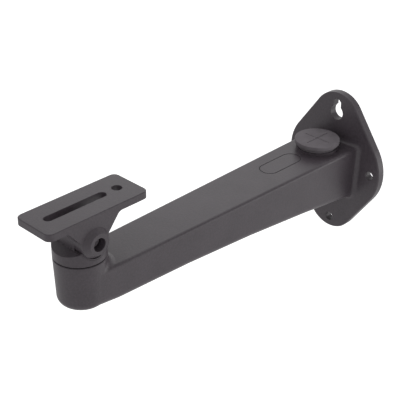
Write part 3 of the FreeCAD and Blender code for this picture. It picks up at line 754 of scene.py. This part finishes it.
# %% Sizes of the grommet
CAP_THICKNESS = 3.0 * MM
NECK_RADIUS = 14.8 * MM
NECK_HEIGHT = 2.8 * MM
STEM_RADIUS = 12.8 * MM
LIP_RADIUS = 14.2 * MM
LIP_THICKNESS = 2.0 * MM
HOLLOW_RADIUS = 11.4 * MM
SKIN_THICKNESS = 2.0 * MM
cap_radius = (grommet_high.x - grommet_low.x) / 2
cap_top = grommet_high.z
cap_foot = cap_top - CAP_THICKNESS
neck_foot = cap_foot - NECK_HEIGHT
skin_foot = cap_top - SKIN_THICKNESS
stem_end = grommet_low.z
lip_top = stem_end + LIP_THICKNESS
print(f"grommet cap {2 * cap_radius / MM:.1f} mm across")

# %% [markdown]
# The natural way to make such a part is a lathe: draw half of its outline as a list of radii and
# heights, then spin it about the axis. The cap's edges are real quarter rounds, but small ones,
# because the photograph shows a crisp rim.

# %% Outline of the grommet
RIM_ROUND = 0.35 * MM
RIM_STEPS = 6
FOOT_ROUND = 0.3 * MM
FOOT_STEPS = 3


def quarter(centre_radius, centre_height, radius, first_degrees, steps):
    """A quarter round, clockwise from an angle, as radii and heights."""
    angles = [math.radians(first_degrees - 90 * k / steps) for k in range(steps + 1)]
    return [
        (centre_radius + radius * math.cos(a), centre_height + radius * math.sin(a))
        for a in angles
    ]


outline = [
    (0, cap_top),
    *quarter(cap_radius - RIM_ROUND, cap_top - RIM_ROUND, RIM_ROUND, 90, RIM_STEPS),
    *quarter(cap_radius - FOOT_ROUND, cap_foot + FOOT_ROUND, FOOT_ROUND, 0, FOOT_STEPS),
    (NECK_RADIUS, cap_foot), (NECK_RADIUS, neck_foot),
    (STEM_RADIUS, neck_foot), (STEM_RADIUS, lip_top),
    (LIP_RADIUS, lip_top), (LIP_RADIUS, stem_end),
    (HOLLOW_RADIUS, stem_end), (HOLLOW_RADIUS, skin_foot), (0, skin_foot),
]
print(len(outline), "points from the cap's middle to the hollow's")

# %% [markdown]
# Spin copies the outline round the axis in small steps. The two ends lie on the axis, where all
# copies meet, so near-equal points are merged and the faces are then told which way is out.

# %% Spin the grommet
SPIN_STEPS = 96
MERGE_WITHIN = 0.001 * MM
lathe = bmesh.new()
points = [lathe.verts.new((r, 0, z)) for r, z in outline]
lines = [lathe.edges.new(pair) for pair in zip(points, points[1:])]
bmesh.ops.spin(
    lathe, geom=points + lines, cent=(0, 0, 0), axis=(0, 0, 1),
    angle=2 * math.pi, steps=SPIN_STEPS,
)
bmesh.ops.remove_doubles(lathe, verts=lathe.verts, dist=MERGE_WITHIN)
bmesh.ops.recalc_face_normals(lathe, faces=lathe.faces)
spun = bpy.data.meshes.new("grommet_spun")
lathe.to_mesh(spun)
lathe.free()
print(len(spun.polygons), "faces after the spin")

# %% [markdown]
# Two crossed slits let a cable through. They are one thin blade, placed twice with a quarter
# turn between, and cut out of the skin. That is a repeat, so Geometry Nodes place the blades:
# one instance for each point, turned by its number.

# %% Cross slits
SLIT_LENGTH = 24 * MM
SLIT_WIDTH = 0.5 * MM
SLIT_COUNT = 2
slit_tree, sizes = start_tree("cross_slits", [
    ("Length", "Float"), ("Width", "Float"), ("Depth", "Float"), ("Height", "Float"),
    ("Count", "Int"),
])
blade_size = add(slit_tree, "ShaderNodeCombineXYZ", {
    "X": sizes["Length"], "Y": sizes["Width"], "Z": sizes["Depth"],
})[0]
blade = add(slit_tree, "GeometryNodeMeshCube", {"Size": blade_size})["Mesh"]
stations = add(slit_tree, "GeometryNodePoints", {"Count": sizes["Count"]})[0]
number = slit_tree.nodes.new("GeometryNodeInputIndex").outputs[0]
share = work_out(slit_tree, "DIVIDE", math.pi, sizes["Count"])
turned = upwards(slit_tree, work_out(slit_tree, "MULTIPLY", number, share))
blades = add(slit_tree, "GeometryNodeInstanceOnPoints", {
    "Points": stations, "Instance": blade, "Rotation": turned,
})[0]
cutters = moved(slit_tree, blades, Translation=upwards(slit_tree, sizes["Height"]))
end_tree(slit_tree, sizes, cut(slit_tree, "DIFFERENCE", sizes["Start"], cutters))
grommet = build("cable_grommet_detailed", slit_tree, {
    "Length": SLIT_LENGTH, "Width": SLIT_WIDTH, "Count": SLIT_COUNT,
    "Depth": 2 * SKIN_THICKNESS, "Height": cap_top - SKIN_THICKNESS / 2,
    "Place": (grommet_axis.x, grommet_axis.y, 0), "Finish": rubber,
}, start=spun)
stand_for(grommet, "cable_grommet", "arm")

# %% [markdown]
# Round walls should look round. More faces would do it, at a price. Smooth shading does it for
# nothing: each made piece is shaded smooth, and edges sharper than a given angle stay sharp.

# %% Shade the made pieces
SMOOTH_BELOW = math.radians(32)
for piece in (pan_bolt, tilt_nut, tilt_screw, wear_pad, oval_shade_line, grommet):
    mesh = piece.data
    mesh.shade_smooth()
    mesh.set_sharp_from_angle(angle=SMOOTH_BELOW)
    print(piece.name, sum(e.use_edge_sharp for e in mesh.edges), "sharp edges")

# %% [markdown]
# The other solids keep their meshes: only their finishes change. A dictionary says which finish
# each one wears.

# %% Dress the solids
finish_of = {
    "arm_casting": powder_coat,
    "pan_turntable": powder_coat,
    "camera_plate": powder_coat,
    "pan_friction_washer": acetal,
    "pan_spring_washer": zinc,
    "pan_flat_washer": zinc,
}
for name, finish in finish_of.items():
    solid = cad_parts[name]
    solid.data.materials.clear()
    solid.data.materials.append(finish)
print(len(finish_of), "solids dressed")
